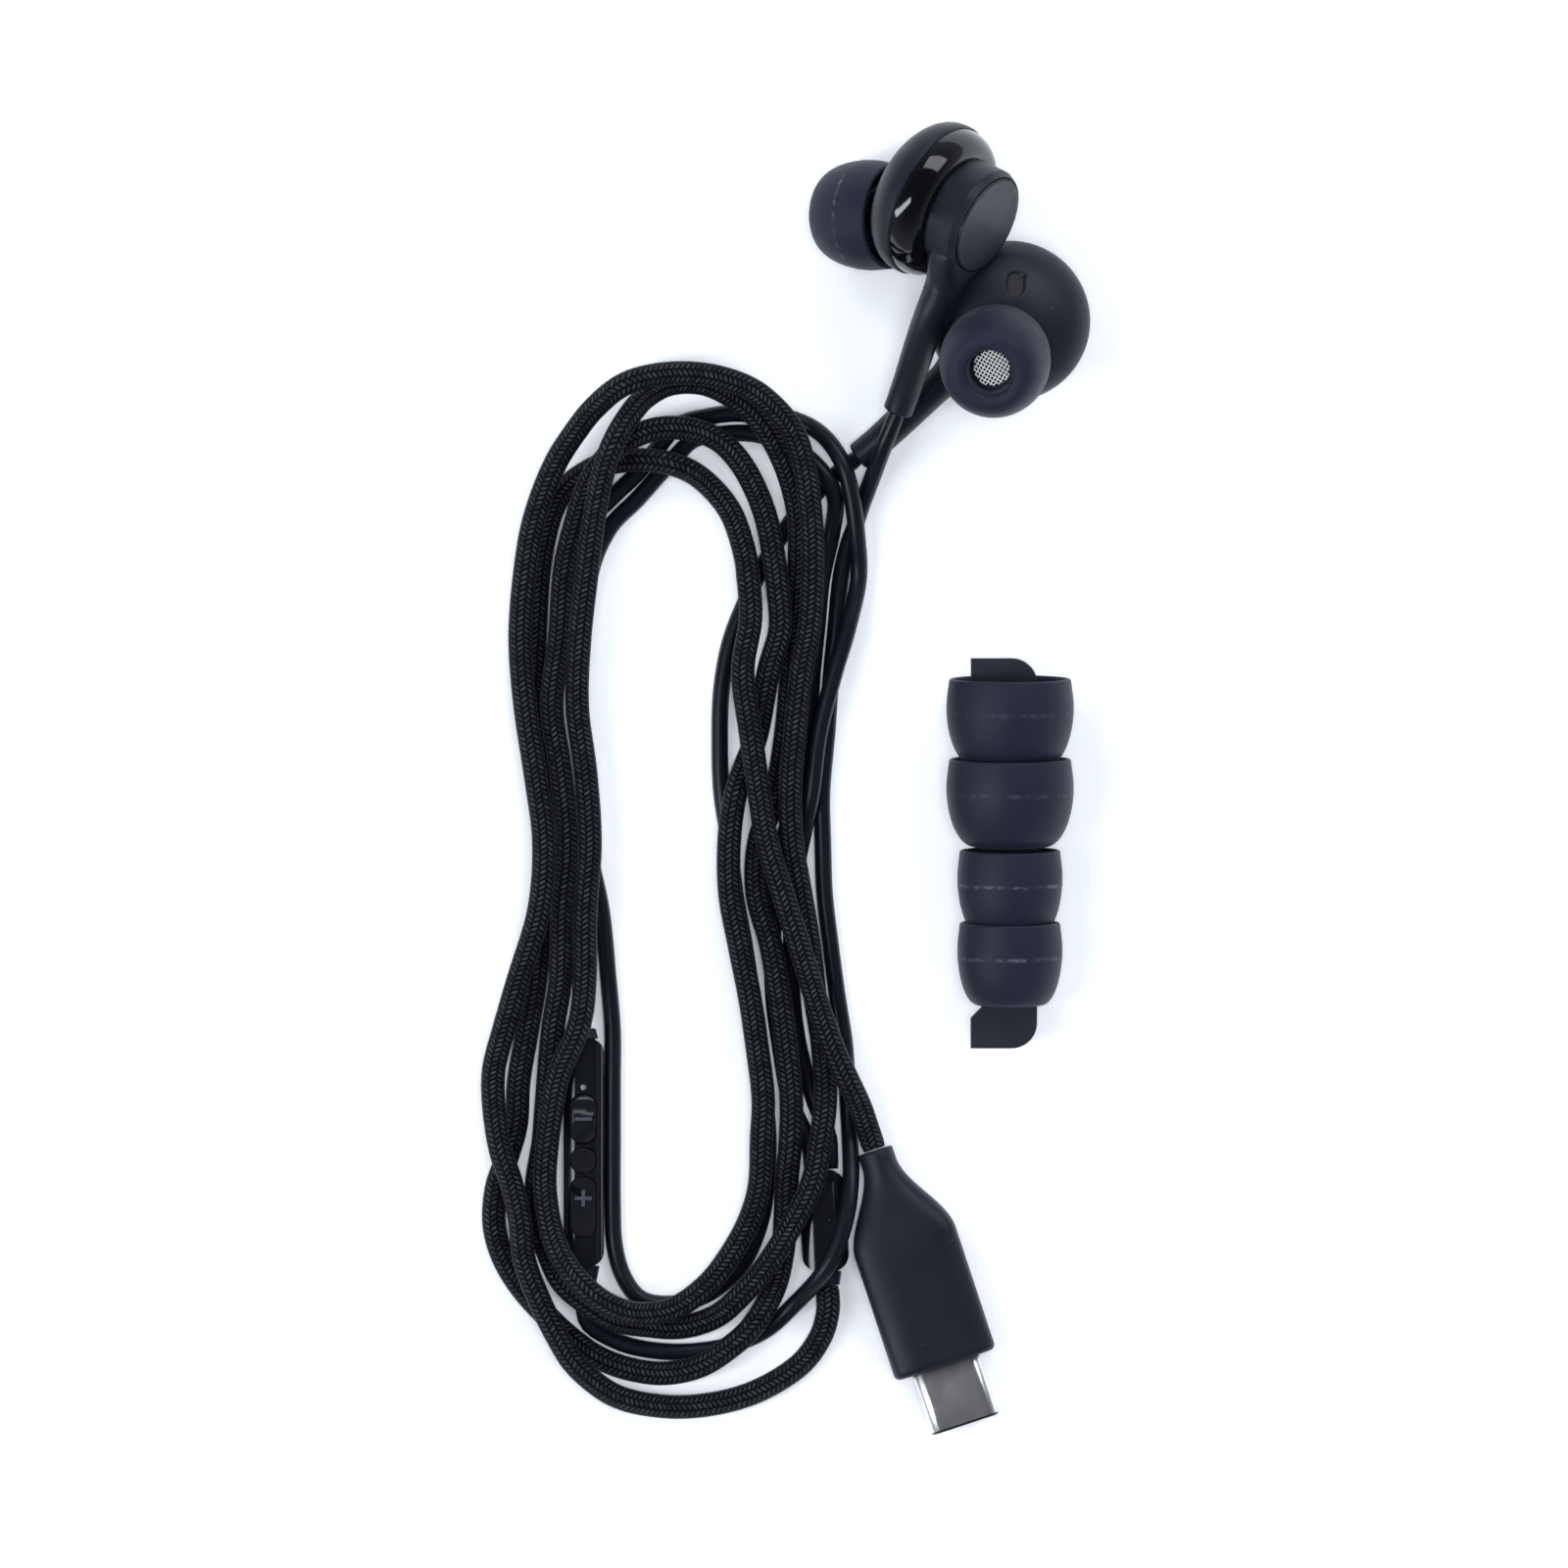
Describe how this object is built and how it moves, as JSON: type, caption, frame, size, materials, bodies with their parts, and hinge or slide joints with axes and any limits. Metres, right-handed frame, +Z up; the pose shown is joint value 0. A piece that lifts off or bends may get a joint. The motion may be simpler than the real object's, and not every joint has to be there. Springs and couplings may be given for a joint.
{
  "type": "wired in-ear earphones",
  "caption": "Wired in-ear earphones laid on a table: silicone-tipped buds, in-line remote, splitter, a wound braided cord, a USB-C plug and spare ear tips on a card.",
  "frame": {"origin": "centre of the footprint of the earbuds and the spare tips, on the table they lie on", "axes": "+Z up from the table, +Y from the spare tips towards the earbuds, +X from the wound cord towards the spare tips"},
  "size_m": [0.0714, 0.1537, 0.0236],
  "materials": {
    "matte_shell": "fine matte moulded plastic",
    "gloss_shell": "smooth glossy moulded plastic",
    "dark_ring": "dark polished trim ring",
    "steel_mesh": "fine woven steel mesh",
    "silicone": "soft satin silicone",
    "driver_steel": "plain steel",
    "magnet_nickel": "nickel plate",
    "diaphragm_film": "thin formed film",
    "coil_copper": "lacquered copper winding",
    "rubber_boot": "matte moulded rubber",
    "smooth_cord": "smooth matte cord jacket",
    "braided_cord": "tight woven textile sleeve",
    "remote_case": "satin moulded plastic",
    "button_rubber": "matte button caps",
    "board_green": "coated circuit board",
    "microphone_gold": "gold plate",
    "plug_rubber": "matte moulded rubber",
    "plug_steel": "satin stainless steel",
    "black_insulator": "plain black moulding",
    "card_plastic": "thin dark sheet plastic"
  },
  "bodies": {
    "earphones": {"left_nozzle_mesh": "steel_mesh", "left_front_shell": "matte_shell", "left_vent_mesh": "steel_mesh", "left_rear_shell": "gloss_shell", "left_driver_frame": "driver_steel", "left_magnet": "magnet_nickel", "left_barrel": "matte_shell", "left_cap_ring": "dark_ring", "left_cap": "matte_shell", "left_stem_boot": "rubber_boot", "right_nozzle_mesh": "steel_mesh", "right_front_shell": "matte_shell", "right_vent_mesh": "steel_mesh", "right_rear_shell": "gloss_shell", "right_driver_frame": "driver_steel", "right_magnet": "magnet_nickel", "right_barrel": "matte_shell", "right_cap_ring": "dark_ring", "right_cap": "matte_shell", "right_stem_boot": "rubber_boot", "remote_front_cover": "remote_case", "remote_back_cover": "remote_case", "remote_circuit_board": "board_green", "remote_switches": "driver_steel", "remote_microphone": "microphone_gold", "remote_top_sleeve": "rubber_boot", "remote_bottom_sleeve": "rubber_boot", "splitter_front": "remote_case", "splitter_back": "remote_case", "splitter_crimp": "plug_steel", "splitter_boot": "rubber_boot", "plug_boot": "plug_rubber", "plug_shell": "plug_steel", "plug_insulator": "black_insulator", "plug_contacts": "microphone_gold", "plug_latches": "plug_steel", "plug_circuit_board": "board_green", "plug_audio_chip": "black_insulator", "plug_crimp": "plug_steel", "left_cord": "smooth_cord", "right_cord_upper": "smooth_cord", "right_cord_lower": "smooth_cord", "main_cord": "braided_cord"},
    "left_tip": {"left_ear_tip": "silicone"},
    "right_tip": {"right_ear_tip": "silicone"},
    "left_speaker": {"left_diaphragm": "diaphragm_film", "left_voice_coil": "coil_copper"},
    "right_speaker": {"right_diaphragm": "diaphragm_film", "right_voice_coil": "coil_copper"},
    "volume_up": {"volume_up_button": "button_rubber"},
    "play": {"play_button": "button_rubber"},
    "volume_down": {"volume_down_button": "button_rubber"},
    "spare_card": {"tip_card": "card_plastic"},
    "spare_1": {"spare_tip_1": "silicone"},
    "spare_2": {"spare_tip_2": "silicone"},
    "spare_3": {"spare_tip_3": "silicone"},
    "spare_4": {"spare_tip_4": "silicone"}
  },
  "joints": [
    {"name": "left_tip_pull", "type": "slide", "parent": "earphones", "child": "left_tip", "axis": [-0.1291, -0.2646, 0.9557], "range_m": [0, 0.012]},
    {"name": "right_tip_pull", "type": "slide", "parent": "earphones", "child": "right_tip", "axis": [-0.823, 0.0635, -0.5645], "range_m": [0, 0.012]},
    {"name": "left_speaker_stroke", "type": "slide", "parent": "earphones", "child": "left_speaker", "axis": [0.055, 0.05, 0.9972], "range_m": [-0.0002, 0.0002], "stiffness_N_per_m": 50},
    {"name": "right_speaker_stroke", "type": "slide", "parent": "earphones", "child": "right_speaker", "axis": [-0.7921, 0.4111, -0.4512], "range_m": [-0.0002, 0.0002], "stiffness_N_per_m": 50},
    {"name": "volume_up_press", "type": "slide", "parent": "earphones", "child": "volume_up", "axis": [0, 0, -1], "range_m": [0, 0.00025], "stiffness_N_per_m": 1500, "springref_m": -0.0002},
    {"name": "play_press", "type": "slide", "parent": "earphones", "child": "play", "axis": [0, 0, -1], "range_m": [0, 0.00025], "stiffness_N_per_m": 1500, "springref_m": -0.0002},
    {"name": "volume_down_press", "type": "slide", "parent": "earphones", "child": "volume_down", "axis": [0, 0, -1], "range_m": [0, 0.00025], "stiffness_N_per_m": 1500, "springref_m": -0.0002},
    {"name": "card_lift", "type": "slide", "parent": "earphones", "child": "spare_card", "axis": [0, 0, 1], "range_m": [0, 0.06]},
    {"name": "spare_2_slide", "type": "slide", "parent": "spare_card", "child": "spare_2", "axis": [0, 0.9977, 0.0684], "range_m": [0, 0.024], "deforming": ["spare_tip_2"]},
    {"name": "spare_1_slide", "type": "slide", "parent": "spare_2", "child": "spare_1", "axis": [0, 0.9977, 0.0684], "range_m": [0, 0.014], "deforming": ["spare_tip_1"]},
    {"name": "spare_3_slide", "type": "slide", "parent": "spare_card", "child": "spare_3", "axis": [0, -0.9977, -0.0684], "range_m": [0, 0.025], "deforming": ["spare_tip_3"]},
    {"name": "spare_4_slide", "type": "slide", "parent": "spare_3", "child": "spare_4", "axis": [0, -0.9977, -0.0684], "range_m": [0, 0.016], "deforming": ["spare_tip_4"]}
  ]
}
